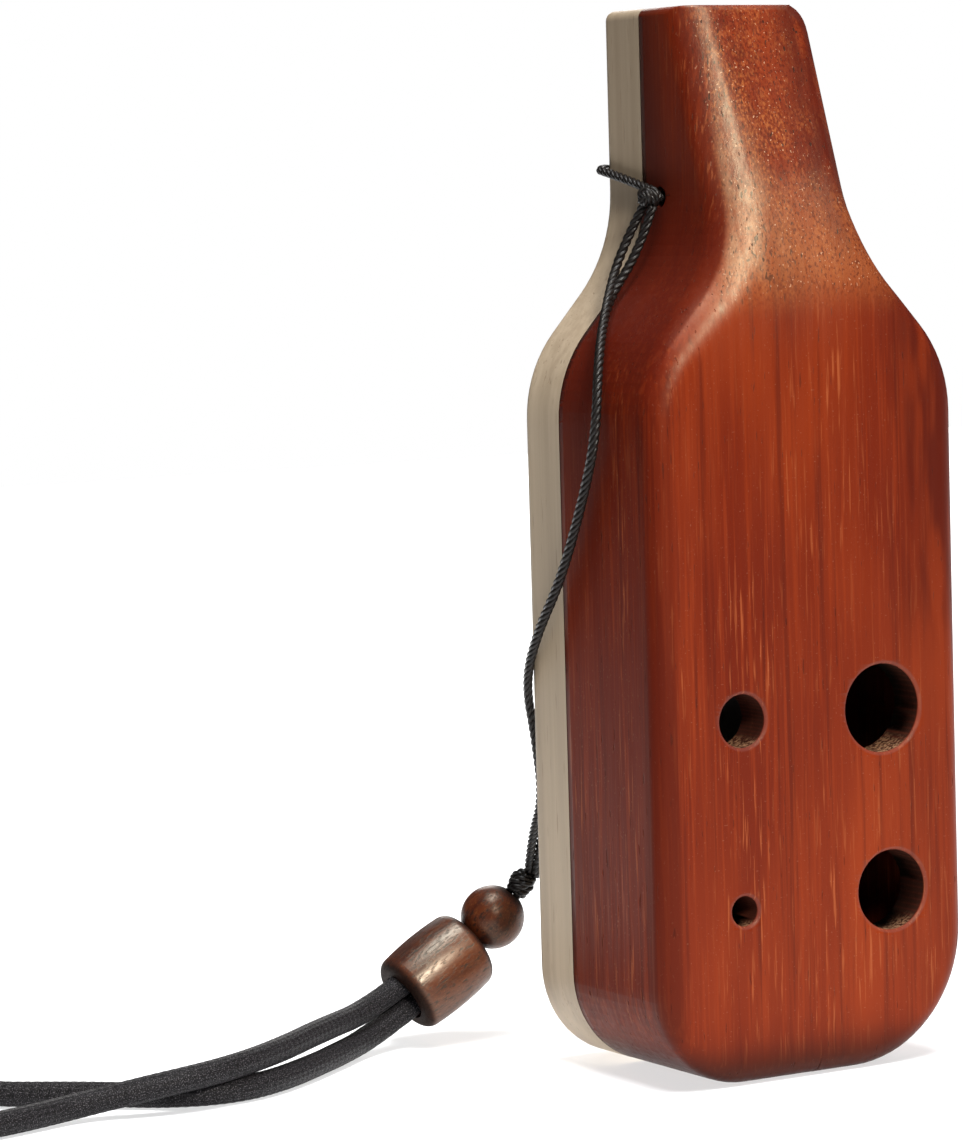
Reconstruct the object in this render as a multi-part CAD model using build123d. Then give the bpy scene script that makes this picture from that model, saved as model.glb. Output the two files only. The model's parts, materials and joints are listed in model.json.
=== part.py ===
"""Pendant ocarina: a thick hardwood front, a pale back plate, a lanyard with two wooden beads.

Millimetres, +Z up towards the mouthpiece, finger holes facing -Y, back plate towards +Y.
The origin is on the surface that it stands on, under the middle of the body.
"""
import math
import os

from build123d import *

# Body outline, seen from the front
HEIGHT = 130.0
BODY_WIDTH = 44.6
NECK_WIDTH = 18.6
LEFT_FOOT_RADIUS = 12.2           # the foot is shaped by hand: one corner is fuller
RIGHT_FOOT_RADIUS = 16.2
SHOULDER_CORNER_Z = 86.2          # where the side and the sloping shoulder would meet
SHOULDER_SLOPE = 42.0             # degrees away from the upright
SHOULDER_RADIUS = 16.0
NECK_RADIUS = 18.7

# Layers, from front to back
FRONT_DEPTH = 21.0
PLATE_DEPTH = 8.5
RAMP_START_Z = 99.0               # the neck gets thinner above this height
RAMP_SETBACK = 11.0               # how much it has lost at the mouth end
RAMP_BLEND_RADIUS = 10.0
FRONT_EDGE_RADIUS = 2.4
BACK_EDGE_RADIUS = 1.5
RIM_RADIUS = 1.2

FRONT_Y = -(FRONT_DEPTH + PLATE_DEPTH) / 2
SEAM_Y = FRONT_Y + FRONT_DEPTH
BACK_Y = SEAM_Y + PLATE_DEPTH

# Chamber, windway and voicing
SIDE_WALL = 4.5
FRONT_WALL = 5.2
CHAMBER_FLOOR_Z = 5.5
CHAMBER_TOP_Z = 97.0
CHAMBER_TOP_WIDTH = 14.0
CHAMBER_FLOOR_RADIUS = 11.0
WINDWAY_WIDTH = 10.0
WINDWAY_IN_FRONT = 0.6
WINDWAY_IN_PLATE = 0.7
WINDOW_HEIGHT = 5.0
LABIUM_THICKNESS = 0.4
LABIUM_ANGLE = 24.0

# Finger holes: across, up, diameter
FINGER_HOLES = [
    (-10.4, 44.2, 6.5),
    (10.2, 44.1, 10.9),
    (-10.6, 21.2, 3.7),
    (11.1, 21.6, 9.9),
]
HOLE_RIM = 0.35

# Lanyard hole, from side to side through the neck
LANYARD_HOLE_Y = 2.4
LANYARD_HOLE_Z = 107.0
LANYARD_HOLE_RADIUS = 1.3

# Cords and beads
THIN = 1.2
THICK = 3.1
LOOP_GAP = 0.03                   # between the loop and the neck that it is tied round
THIN_PAIR = 0.62                  # half the spacing of two thin strands side by side
THICK_PAIR = 1.57
BEAD_RADIUS = 4.1
BORE_RADIUS = 1.32
BARREL_LENGTH = 11.4
BARREL_RADIUS = 5.5
BARREL_END_RADIUS = 5.1
BARREL_END_ROUND = 1.4
BARREL_WEB = 2.6                  # solid end that the thin strands pass through
BARREL_CAVITY_RADIUS = 3.2
SPLICE_LENGTH = 2.0
SPLICE_RADIUS = 3.1
SPLICE_GAP = 0.06
KNOT_LENGTH = 3.8
KNOT_RADIUS = 1.9
KNOT_SEAT = 0.3                   # how far the knot settles into the mouth of the bore
NECK_KNOT_RADIUS = 1.5

# The beads hang side by side on one bent line: it turns at the barrel's upper end
BARREL_TOP = Vector(-20.7, 34.2, 11.9)
BEAD_HEADING = 155.0              # degrees from +X towards +Y
BEAD_DROP = 47.5                  # degrees below level
BARREL_HEADING = 180.0
BARREL_DROP = 30.5
BEAD_TO_BARREL = 4.65

# Neck cord, put away in a round coil
COIL_X = -117.5
COIL_Y = 35.5
COIL_MIDDLE_RADIUS = 17.0
COIL_BUILD = 13.6                 # width of the wound ring
COIL_LAYERS = 2
TIE_WIDTH = 3.0
TIE_THICKNESS = 0.6

# Routes of the free cords, corner by corner
LEG_A = [
    (-11.2, 3.0, 106.2),
    (-12.6, 6.3, 100.8),
    (-17.2, 2.8, 94.3),
    (-22.6, -3.6, 87.5),
    (-24.4, -5.6, 79.0),
    (-24.1, -1.8, 71.0),
    (-24.2, 3.6, 61.0),
    (-24.6, 8.9, 54.0),
    (-22.9, 14.8, 47.5),
    (-20.3, 17.0, 40.0),
    (-18.1, 19.3, 32.0),
    (-15.7, 26.2, 26.2),
    (-13.5, 30.9, 20.8),
]
LEG_B = [
    (-10.9, 1.6, 105.9),
    (-11.9, 3.2, 100.6),
    (-16.5, 4.0, 94.3),
    (-21.9, -2.4, 87.5),
    (-23.7, -4.4, 79.0),
    (-23.4, -0.6, 71.0),
    (-23.5, 4.8, 61.0),
    (-23.9, 10.1, 54.0),
    (-22.2, 16.0, 47.5),
    (-19.6, 18.2, 40.0),
    (-16.7, 20.4, 32.0),
    (-14.3, 26.0, 26.4),
    (-12.9, 30.3, 20.3),
]
NECK_LEG_A = [
    (-35.2, 34.2, 5.2),
    (-47.4, 25.9, 5.1),
    (-56.7, 19.2, 4.8),
    (-66.5, 14.2, 4.5),
    (-75.5, 14.6, 3.6),
    (-84.0, 18.2, 1.8),
    (-94.0, 15.3, 1.6),
    (-106.0, 13.5, 1.6),
    (-114.0, 13.3, 1.6),
]
NECK_LEG_B = [
    (-34.7, 34.2, 1.9),
    (-48.0, 23.9, 1.6),
    (-59.5, 16.4, 1.6),
    (-67.3, 15.2, 1.6),
    (-73.2, 17.9, 1.6),
    (-78.0, 22.6, 1.6),
    (-84.0, 27.6, 1.6),
    (-90.3, 32.6, 1.6),
    (-95.6, 41.0, 3.6),
    (-98.6, 47.5, 4.7),
]


def heading_vector(heading, drop):
    """Unit vector at a heading around Z and a drop below level."""
    level = math.cos(math.radians(drop))
    x = level * math.cos(math.radians(heading))
    y = level * math.sin(math.radians(heading))
    return Vector(x, y, -math.sin(math.radians(drop)))


BEAD_AXIS = heading_vector(BEAD_HEADING, BEAD_DROP)
BARREL_AXIS = heading_vector(BARREL_HEADING, BARREL_DROP)
BEAD_CENTRE = BARREL_TOP - BEAD_AXIS * BEAD_TO_BARREL
KNOT_CENTRE = BEAD_CENTRE - BEAD_AXIS * (BEAD_RADIUS - KNOT_SEAT + KNOT_LENGTH / 2)
BARREL_UP = heading_vector(BARREL_HEADING, BARREL_DROP - 90)


def half_profile(half_width, slope_z, top_width, top_z, bottom_z):
    """Bottle outline in the XZ plane with sharp corners, from the foot up."""
    shoulder_rise = (half_width - top_width) / math.tan(math.radians(SHOULDER_SLOPE))
    right = [
        (half_width, bottom_z),
        (half_width, slope_z),
        (top_width, slope_z + shoulder_rise),
        (top_width, top_z),
    ]
    left = [(-x, z) for x, z in reversed(right)]
    return right + left


def bottle_face(corners, radii):
    """Face on the XZ plane with its corners rounded, each (x, z) with its own radius."""
    face = Plane.XZ * make_face(Polyline(*corners, close=True))
    for (x, z), radius in radii:
        near = [v for v in face.vertices() if abs(v.X - x) < 0.01 and abs(v.Z - z) < 0.01]
        face = fillet(near, radius)
    return face


def mirrored(corner, radius):
    """The same rounding on the right and the left."""
    x, z = corner
    return [((x, z), radius), ((-x, z), radius)]


def slab(face, y_from, y_to):
    """The XZ face pushed along Y between two depths."""
    block = extrude(face, amount=y_to - y_from, dir=(0, 1, 0))
    return Pos(0, y_from, 0) * block


def y_cylinder(x, z, radius, y_from, y_to):
    plane = Plane(origin=(x, y_from, z), z_dir=(0, 1, 0))
    return extrude(plane * Circle(radius), amount=y_to - y_from)


def body_outline():
    corners = half_profile(BODY_WIDTH / 2, SHOULDER_CORNER_Z, NECK_WIDTH / 2, HEIGHT, 0)
    right_foot, shoulder, neck = corners[:3]
    left_foot = corners[-1]
    feet = [(right_foot, RIGHT_FOOT_RADIUS), (left_foot, LEFT_FOOT_RADIUS)]
    return bottle_face(corners, feet + mirrored(shoulder, SHOULDER_RADIUS) + mirrored(neck, NECK_RADIUS))


def chamber_outline():
    half = BODY_WIDTH / 2 - SIDE_WALL
    slope = math.radians(SHOULDER_SLOPE)
    slope_z = SHOULDER_CORNER_Z - (SIDE_WALL - SIDE_WALL * math.cos(slope)) / math.sin(slope)
    top_z = slope_z + (half - CHAMBER_TOP_WIDTH / 2) / math.tan(slope)
    right = [(half, CHAMBER_FLOOR_Z), (half, slope_z), (CHAMBER_TOP_WIDTH / 2, top_z)]
    if top_z < CHAMBER_TOP_Z:
        right.append((CHAMBER_TOP_WIDTH / 2, CHAMBER_TOP_Z))
    left = [(-x, z) for x, z in reversed(right)]
    radii = mirrored(right[0], CHAMBER_FLOOR_RADIUS) + mirrored(right[1], SHOULDER_RADIUS / 2)
    return bottle_face(right + left, radii)


def side_profile():
    """Front body seen from the side: upright front, then the ramp up to the mouth end."""
    points = [
        (0, FRONT_Y, 0),
        (0, FRONT_Y, RAMP_START_Z),
        (0, FRONT_Y + RAMP_SETBACK, HEIGHT),
        (0, SEAM_Y, HEIGHT),
        (0, SEAM_Y, 0),
    ]
    face = make_face(Polyline(*points, close=True))
    crease = [v for v in face.vertices() if abs(v.Z - RAMP_START_Z) < 0.01]
    face = fillet(crease, RAMP_BLEND_RADIUS)
    block = extrude(face, amount=BODY_WIDTH, dir=(1, 0, 0))
    return Pos(-BODY_WIDTH / 2, 0, 0) * block


def rim_edges(solid, seam_y):
    """Edges round the mouth end, without the one along the glued seam."""
    top = solid.faces().sort_by(Axis.Z)[-1]
    return [e for e in top.edges() if abs(e.center().Y - seam_y) > 0.01]


def make_front_body():
    block = slab(body_outline(), FRONT_Y, SEAM_Y) & side_profile()
    facing = [f for f in block.faces() if f.normal_at().Y < -0.5]
    keys = {}
    for face in facing:
        for edge in face.edges():
            centre = edge.center()
            key = (round(centre.X, 2), round(centre.Y, 2), round(centre.Z, 2))
            keys.setdefault(key, []).append(edge)
    border = [edges[0] for edges in keys.values() if len(edges) == 1]
    border = [e for e in border if e.center().Z < HEIGHT - 0.01]
    block = fillet(border, FRONT_EDGE_RADIUS)
    block = fillet(rim_edges(block, SEAM_Y), RIM_RADIUS)
    block -= slab(chamber_outline(), FRONT_Y + FRONT_WALL, SEAM_Y + 1)
    windway = Box(WINDWAY_WIDTH, 2 * WINDWAY_IN_FRONT, HEIGHT - CHAMBER_TOP_Z + 2)
    block -= Pos(0, SEAM_Y, (HEIGHT + CHAMBER_TOP_Z) / 2) * windway
    for x, z, diameter in FINGER_HOLES:
        block -= y_cylinder(x, z, diameter / 2, FRONT_Y - 1, FRONT_Y + FRONT_WALL + 1)
        rim = Plane(origin=(x, FRONT_Y, z), z_dir=(0, 1, 0))
        outer = diameter / 2 + HOLE_RIM
        block -= rim * Pos(0, 0, HOLE_RIM / 2) * Cone(outer, diameter / 2, HOLE_RIM)
    hole = Cylinder(LANYARD_HOLE_RADIUS, NECK_WIDTH + 2, rotation=(0, 90, 0))
    block -= Pos(0, LANYARD_HOLE_Y, LANYARD_HOLE_Z) * hole
    return block


def make_back_plate():
    plate = slab(body_outline(), SEAM_Y, BACK_Y)
    back = plate.faces().sort_by(Axis.Y)[-1]
    border = [e for e in back.edges() if e.center().Z < HEIGHT - 0.01]
    plate = fillet(border, BACK_EDGE_RADIUS)
    plate = fillet(rim_edges(plate, SEAM_Y), RIM_RADIUS)
    windway = Box(WINDWAY_WIDTH, 2 * WINDWAY_IN_PLATE, HEIGHT - CHAMBER_TOP_Z + 2)
    plate -= Pos(0, SEAM_Y, (HEIGHT + CHAMBER_TOP_Z) / 2 + 1) * windway
    edge_z = CHAMBER_TOP_Z - WINDOW_HEIGHT
    edge_y = SEAM_Y + LABIUM_THICKNESS
    beyond = BACK_Y + 1
    ramp_foot_z = edge_z - (beyond - edge_y) / math.tan(math.radians(LABIUM_ANGLE))
    points = [
        (0, SEAM_Y - 1, CHAMBER_TOP_Z),
        (0, SEAM_Y - 1, edge_z),
        (0, edge_y, edge_z),
        (0, beyond, ramp_foot_z),
        (0, beyond, CHAMBER_TOP_Z),
    ]
    window = extrude(make_face(Polyline(*points, close=True)), amount=WINDWAY_WIDTH, dir=(1, 0, 0))
    return plate - Pos(-WINDWAY_WIDTH / 2, 0, 0) * window


def corner_radii(points):
    """Largest even arcs: 0.45 of the shorter run beside each corner, over tan of half the turn."""
    radii = []
    for before, corner, after in zip(points, points[1:], points[2:]):
        arriving = corner - before
        leaving = after - corner
        half_turn = math.radians(arriving.get_angle(leaving)) / 2
        radii.append(0.45 * min(arriving.length, leaving.length) / math.tan(half_turn))
    return radii


def cord_tube(name, route, diameter, radii=None):
    """Round tube along straight runs joined by tangent arcs."""
    points = [Vector(*p) for p in route]
    radii = radii or corner_radii(points)
    path = FilletPolyline(*points, radius=radii)
    start = Plane(origin=path @ 0, z_dir=path % 0)
    tube = sweep(start * Circle(diameter / 2), path=path)
    expected = math.pi * diameter ** 2 / 4 * path.length
    arcs = ", ".join(f"{r / diameter:.1f}" for r in radii)
    print(f"{name}: {path.length:.1f} mm long, volume {tube.volume / expected:.3f} of section times length")
    print(f"  arc radii in diameters: {arcs}")
    return tube


def along(origin, axis):
    """Plane whose Z runs along an axis, for turned pieces."""
    return Plane(origin=origin, z_dir=axis)


def make_neck_loop():
    """Cord through the neck, round its back half and into the knot on the left side."""
    side = NECK_WIDTH / 2 + THIN / 2 + LOOP_GAP
    behind = BACK_Y + THIN / 2 + LOOP_GAP
    rise = 3.6
    points = [
        (-side, LANYARD_HOLE_Y + 0.4, LANYARD_HOLE_Z + 0.8),
        (-side, behind, LANYARD_HOLE_Z + rise),
        (side, behind, LANYARD_HOLE_Z + rise),
        (side, LANYARD_HOLE_Y, LANYARD_HOLE_Z),
        (-side, LANYARD_HOLE_Y, LANYARD_HOLE_Z),
    ]
    edge_bend = BACK_EDGE_RADIUS + THIN / 2
    return cord_tube("neck_loop", points, THIN, [edge_bend, edge_bend, THIN])


def make_neck_knot():
    centre = (-NECK_WIDTH / 2 - NECK_KNOT_RADIUS - 0.05, LANYARD_HOLE_Y, LANYARD_HOLE_Z)
    return Pos(*centre) * Sphere(NECK_KNOT_RADIUS)


def make_bead_knot():
    knot = fillet(Cylinder(KNOT_RADIUS, KNOT_LENGTH).edges(), KNOT_RADIUS * 0.8)
    return along(KNOT_CENTRE, BEAD_AXIS) * knot


def make_bead_cord():
    """Both thin strands, side by side through the round bead and into the barrel."""
    across = BEAD_AXIS.cross(BARREL_AXIS).normalized()
    inner_end = BARREL_TOP + BARREL_AXIS * (BARREL_WEB + SPLICE_GAP)
    strands = []
    for side in (-THIN_PAIR, THIN_PAIR):
        points = [p + across * side for p in (KNOT_CENTRE, BARREL_TOP, inner_end)]
        path = FilletPolyline(*points, radius=2 * THIN)
        strands.append(sweep(Plane(origin=path @ 0, z_dir=path % 0) * Circle(THIN / 2), path=path))
    return strands[0] + strands[1]


def make_round_bead():
    bore = Cylinder(BORE_RADIUS, 3 * BEAD_RADIUS)
    bead = Sphere(BEAD_RADIUS) - bore
    return along(BEAD_CENTRE, BEAD_AXIS) * bead


def make_barrel_bead():
    """Turned barrel: a gently bulging side, rounded ends and a cavity for the thick cords."""
    half = BARREL_LENGTH / 2
    side = ThreePointArc((BARREL_END_RADIUS, -half), (BARREL_RADIUS, 0), (BARREL_END_RADIUS, half))
    outline = side + Polyline((BARREL_END_RADIUS, half), (0, half), (0, -half), (BARREL_END_RADIUS, -half))
    face = make_face(outline)
    corners = [v for v in face.vertices() if v.X > 1]
    blank = revolve(Plane.XZ * fillet(corners, BARREL_END_ROUND), Axis.Z)
    blank = Pos(0, 0, half) * blank
    blank -= Pos(0, 0, half) * Cylinder(BORE_RADIUS, 2 * BARREL_LENGTH)
    cavity = Cylinder(BARREL_CAVITY_RADIUS, BARREL_LENGTH, align=(Align.CENTER, Align.CENTER, Align.MIN))
    blank -= Pos(0, 0, BARREL_WEB) * cavity
    return along(BARREL_TOP, BARREL_AXIS) * blank


def make_cord_splice():
    lump = Cylinder(SPLICE_RADIUS, SPLICE_LENGTH, align=(Align.CENTER, Align.CENTER, Align.MIN))
    return along(BARREL_TOP, BARREL_AXIS) * Pos(0, 0, BARREL_WEB + SPLICE_GAP) * lump


def make_neck_leg(name, route, side):
    splice_end = BARREL_WEB + SPLICE_GAP + SPLICE_LENGTH
    start = BARREL_TOP + BARREL_AXIS * splice_end + BARREL_UP * side
    return cord_tube(name, [tuple(start)] + route, THICK)


def make_coil():
    outer = COIL_MIDDLE_RADIUS + COIL_BUILD / 2
    ring = Cylinder(outer, COIL_LAYERS * THICK) - Cylinder(outer - COIL_BUILD, COIL_LAYERS * THICK)
    ring = fillet(ring.edges(), THICK / 2 - 0.2)
    return Pos(COIL_X, COIL_Y, COIL_LAYERS * THICK / 2) * ring


def make_coil_tie():
    """Flat band round the coil's section on the far side, pulled into it underneath."""
    height = COIL_LAYERS * THICK
    corner = THICK / 2 - 0.2
    outer = RectangleRounded(COIL_BUILD + 2 * TIE_THICKNESS, height + TIE_THICKNESS, corner)
    inner = RectangleRounded(COIL_BUILD, height - TIE_THICKNESS, corner)
    band = extrude(Plane.XZ * (outer - inner), amount=TIE_WIDTH / 2, both=True)
    return Pos(COIL_X - COIL_MIDDLE_RADIUS, COIL_Y, (height + TIE_THICKNESS) / 2) * band


def main():
    os.makedirs("parts", exist_ok=True)
    nodes = {
        "front_body": make_front_body(),
        "back_plate": make_back_plate(),
        "neck_loop": make_neck_loop(),
        "neck_knot": make_neck_knot(),
        "cord_leg_a": cord_tube("cord_leg_a", LEG_A, THIN),
        "cord_leg_b": cord_tube("cord_leg_b", LEG_B, THIN),
        "bead_knot": make_bead_knot(),
        "bead_cord": make_bead_cord(),
        "round_bead": make_round_bead(),
        "barrel_bead": make_barrel_bead(),
        "cord_splice": make_cord_splice(),
        "neck_cord_a": make_neck_leg("neck_cord_a", NECK_LEG_A, THICK_PAIR),
        "neck_cord_b": make_neck_leg("neck_cord_b", NECK_LEG_B, -THICK_PAIR),
        "neck_cord_coil": make_coil(),
        "coil_tie": make_coil_tie(),
    }
    for name, shape in nodes.items():
        export_step(shape, f"parts/{name}.step")


main()
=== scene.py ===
"""Looks of a pendant ocarina: wood, cords, beads, light and camera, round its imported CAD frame.

Metres, +Z up to the mouth end, finger holes facing -Y, the pale back plate towards +Y.
"""
import json
import math

import bmesh
import bpy
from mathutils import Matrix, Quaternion, Vector
from mathutils.bvhtree import BVHTree


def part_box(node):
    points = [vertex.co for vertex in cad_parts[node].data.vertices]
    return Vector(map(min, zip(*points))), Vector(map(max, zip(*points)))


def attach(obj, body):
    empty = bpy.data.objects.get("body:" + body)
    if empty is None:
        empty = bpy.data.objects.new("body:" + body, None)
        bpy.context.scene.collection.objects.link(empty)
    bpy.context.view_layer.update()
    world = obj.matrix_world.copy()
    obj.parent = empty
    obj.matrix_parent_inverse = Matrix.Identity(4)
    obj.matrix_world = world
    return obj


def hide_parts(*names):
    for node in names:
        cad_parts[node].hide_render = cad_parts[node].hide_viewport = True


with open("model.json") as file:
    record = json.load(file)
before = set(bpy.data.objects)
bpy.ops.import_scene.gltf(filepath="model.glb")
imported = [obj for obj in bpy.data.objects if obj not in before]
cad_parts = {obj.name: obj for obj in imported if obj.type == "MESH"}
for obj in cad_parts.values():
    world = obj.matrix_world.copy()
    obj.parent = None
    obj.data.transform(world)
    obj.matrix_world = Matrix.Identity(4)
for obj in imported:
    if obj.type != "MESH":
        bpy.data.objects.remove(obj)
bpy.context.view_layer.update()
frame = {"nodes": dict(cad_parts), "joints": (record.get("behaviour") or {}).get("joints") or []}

MM = 0.001
BODY = "ocarina"
JOINTS = {joint["name"]: joint for joint in frame["joints"]}

# Camera
CAMERA_PLACE = (-0.3092, -0.4585, 0.1088)
CAMERA_HEADING = 30.65  # degrees from +Y towards +X
CAMERA_DROP = 4.89  # degrees below level
CAMERA_ROLL = -1.62
LENS = 141.4

# Floor, as its near left and far right corners
FLOOR_CORNERS = ((-0.17, -0.26), (1.00, 1.10))

# Cords
THIN = 0.0012
THICK = 0.0031
THIN_PLIES = 3
THIN_PITCH = 0.0030
PLY_SHARE = 0.27  # radius of a ply as a share of the cord's diameter
PLY_SIDES = 8
BRAID_SIDES = 40
LEG_RESOLUTION = 40  # points for each route point
CORD_RESOLUTION = 24
BRAID_PITCH = 1.15  # millimetres from one row of diamonds to the next
BRAID_CARRIERS = 16
COIL_X = -0.1175
COIL_Y = 0.0355
COIL_OUTER = 0.0222
COIL_INNER = 0.0118
COIL_POINTS = 14  # route points in each turn of the coil
COIL_TURNS = 7  # less the part between its end and its start
COIL_START = -90  # degrees round from +X
COIL_END = 24.8
COIL_CLIMB_START = 0.47  # share of the way where the second layer starts
COIL_CLIMB_SHARE = 0.06

# Beads: from the middle to an end, and how shiny
BEAD_HALF = 0.0041
BARREL_HALF = 0.0057
BEAD_SHINE = 0.42
BARREL_SHINE = 0.75

# Each row of a table of grains: cells for each metre across the grain, stretch along it, detail, shift

# Red hardwood
DEEP_RED = (0.118, 0.0105, 0.0030)
ORANGE_RED = (0.215, 0.0265, 0.0055)
# Dark streaks and freckles of the grain, and also the colour of the painted shade on the body
DARK_STREAK_AND_SHADE = (0.070, 0.0065, 0.0030)
LIGHT_STREAK = (0.32, 0.076, 0.024)
# Warm freckles, and also the colour of the painted sheen at the ramp's foot
FRECKLE_AND_SHEEN = (0.34, 0.100, 0.026)
# Colour of the painted glints on the ramp
PAINTED_GLINT = (0.62, 0.36, 0.22)
# Colour of the painted highlight on the ramp beside the ridge
PAINTED_SHEEN = (0.34, 0.19, 0.105)
PORE = (0.022, 0.0040, 0.0030)
SEAM_SHADE = (0.024, 0.0040, 0.0030)
HOLE_RIM = (0.19, 0.095, 0.085)
# Painted shade on the walls inside the finger holes, then painted light on their lower part
HOLE_WALL_SHADE = (0.030, 0.010, 0.007)
HOLE_WALL_LIGHT = (0.36, 0.20, 0.11)
HOLLOW_SHADE_DEPTH = 0.70  # how dark the painted shade in the left shoulder's hollow gets, as a share
RED_GRAINS = {
    "patches": (70, 0.22, 2.0, 3.0),
    "pores": (2500, 0.13, 1.0, 7.0),
    "dark_streaks": (900, 0.030, 2.0, 11.0),
    "orange_streaks": (1700, 0.022, 2.0, 17.0),
    "light_streaks": (2300, 0.048, 2.0, 27.0),
    "streak_groups": (170, 0.12, 2.0, 41.0),
    "freckles": (3300, 0.6, 1.0, 51.0),
    "blotches": (300, 0.5, 3.0, 61.0),
    "painted_glints": (4200, 0.8, 0.0, 71.0),
    "wall_light_patches": (2600, 0.8, 3.0, 81.0),
    "fibres": (1500, 0.03, 3.0, 91.0),
    "dimples": (2800, 0.5, 2.0, 101.0),
    "knotty": (330, 0.16, 2.0, 111.0),
    "dashes": (2700, 0.36, 0.0, 121.0),
}

# Pale hardwood
PALE_DEEP = (0.36, 0.275, 0.190)
PALE_LIGHT = (0.48, 0.38, 0.268)
PALE_FIBRE = (0.55, 0.44, 0.32)
PALE_NECK = (0.26, 0.195, 0.130)
PALE_PORE = (0.24, 0.16, 0.10)
PALE_INSIDE_SHADE = (0.045, 0.026, 0.017)
PALE_GRAINS = {
    "bands": (140, 0.03, 3.0, 5.0),
    "fibres": (1100, 0.02, 3.0, 13.0),
    "pores": (2600, 0.07, 1.0, 23.0),
}

# Wood of the beads
BEAD_DARK = (0.024, 0.0050, 0.0035)
BEAD_RED = (0.078, 0.0155, 0.0045)
BEAD_FIBRE = (0.120, 0.030, 0.009)
BEAD_MOTTLE = (0.16, 0.055, 0.018)
BEAD_PORE = (0.010, 0.004, 0.003)
BEAD_END = (0.007, 0.004, 0.0035)
BEAD_GRAINS = {
    "bands": (420, 0.12, 3.0, 2.0),
    "fibres": (1700, 0.05, 2.0, 9.0),
    "pores": (3300, 0.30, 2.0, 31.0),
    "mottle": (4200, 0.8, 2.0, 37.0),
}

# Colours of the cords and the tie
WAXED_DARK = (0.0042, 0.0032, 0.0030)
WAXED_LIGHT = (0.017, 0.0125, 0.0105)
BRAID_GROOVE_SHADE = (0.0024, 0.0022, 0.0026)
BRAID_LIGHT = (0.0062, 0.0056, 0.0068)
BRAID_GLINT = (0.105, 0.096, 0.105)
TIE_LIGHT = (0.03, 0.028, 0.03)
TIE_DARK = (0.008, 0.008, 0.009)

# Finger holes, as x, z and radius
FINGER_HOLES = [
    (-0.0104, 0.0442, 0.00325),
    (0.0102, 0.0441, 0.00545),
    (-0.0106, 0.0212, 0.00185),
    (0.0111, 0.0216, 0.00495),
]

# Routes of the cords, corner by corner
LEG_A = [
    (-0.0112, 0.0030, 0.1062), (-0.0126, 0.0063, 0.1008), (-0.0172, 0.0028, 0.0943),
    (-0.0226, -0.0036, 0.0875), (-0.0244, -0.0056, 0.0790), (-0.0241, -0.0018, 0.0710),
    (-0.0242, 0.0036, 0.0610), (-0.0246, 0.0089, 0.0540), (-0.0229, 0.0148, 0.0475),
    (-0.0203, 0.0170, 0.0400), (-0.0181, 0.0193, 0.0320), (-0.0157, 0.0262, 0.0262),
    (-0.0135, 0.0309, 0.0208),
]
LEG_B = [
    (-0.0109, 0.0016, 0.1059), (-0.0119, 0.0032, 0.1006), (-0.0165, 0.0040, 0.0943),
    (-0.0219, -0.0024, 0.0875), (-0.0237, -0.0044, 0.0790), (-0.0234, -0.0006, 0.0710),
    (-0.0235, 0.0048, 0.0610), (-0.0239, 0.0101, 0.0540), (-0.0222, 0.0160, 0.0475),
    (-0.0196, 0.0182, 0.0400), (-0.0167, 0.0204, 0.0320), (-0.0143, 0.0260, 0.0264),
    (-0.0129, 0.0303, 0.0203),
]
NECK_LEG_A = [
    (-0.0255, 0.0342, 0.0109), (-0.0352, 0.0342, 0.0052), (-0.0474, 0.0259, 0.0051),
    (-0.0567, 0.0192, 0.0048), (-0.0665, 0.0142, 0.0045), (-0.0755, 0.0146, 0.0036),
    (-0.0840, 0.0182, 0.0018), (-0.0940, 0.0153, 0.0016), (-0.1060, 0.0135, 0.0016),
]
NECK_LEG_B = [
    (-0.0956, 0.0410, 0.0036), (-0.0903, 0.0326, 0.0016), (-0.0840, 0.0276, 0.0016),
    (-0.0780, 0.0226, 0.0016), (-0.0732, 0.0179, 0.0016), (-0.0673, 0.0152, 0.0016),
    (-0.0595, 0.0164, 0.0016), (-0.0480, 0.0239, 0.0016), (-0.0347, 0.0342, 0.0019),
    (-0.0239, 0.0342, 0.0082),
]


def lerp(a, b, t):
    return a + (b - a) * t


def between(table, value):
    """Straight-line reading of a table of (value, result) pairs."""
    if value <= table[0][0]:
        return table[0][1]
    for (low, first), (high, second) in zip(table, table[1:]):
        if value <= high:
            return lerp(first, second, (value - low) / (high - low))
    return table[-1][1]


def placed(name, data):
    """A new object of the data, in the scene."""
    thing = bpy.data.objects.new(name, data)
    bpy.context.collection.objects.link(thing)
    return thing


# ---- camera and cords


def make_camera():
    """The camera where the photo was taken from, with the photo's tilt."""
    data = bpy.data.cameras.new("camera")
    data.lens = LENS
    data.sensor_width = 36
    data.clip_start = 0.02
    data.clip_end = 50
    camera = placed("camera", data)
    heading = math.radians(CAMERA_HEADING)
    drop = math.radians(CAMERA_DROP)
    level = math.cos(drop)
    look = Vector((math.sin(heading) * level, math.cos(heading) * level, -math.sin(drop)))
    roll = Quaternion((0, 0, 1), math.radians(CAMERA_ROLL))
    camera.rotation_mode = "QUATERNION"
    camera.rotation_quaternion = look.to_track_quat("-Z", "Y") @ roll
    camera.location = CAMERA_PLACE
    bpy.context.scene.camera = camera


def smooth_line(route, resolution):
    """Points along the smooth line that has the route's corners as its control points."""
    curve = bpy.data.curves.new("route", "CURVE")
    curve.dimensions = "3D"
    spline = curve.splines.new("NURBS")
    spline.points.add(len(route) - 1)
    for point, place in zip(spline.points, route):
        point.co = (*place, 1)
    spline.order_u = 3
    spline.use_endpoint_u = True
    spline.resolution_u = resolution
    holder = bpy.data.objects.new("route", curve)
    mesh = bpy.data.meshes.new_from_object(holder)
    line = [vertex.co.copy() for vertex in mesh.vertices]
    bpy.data.objects.remove(holder)
    bpy.data.curves.remove(curve)
    bpy.data.meshes.remove(mesh)
    return line


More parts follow.
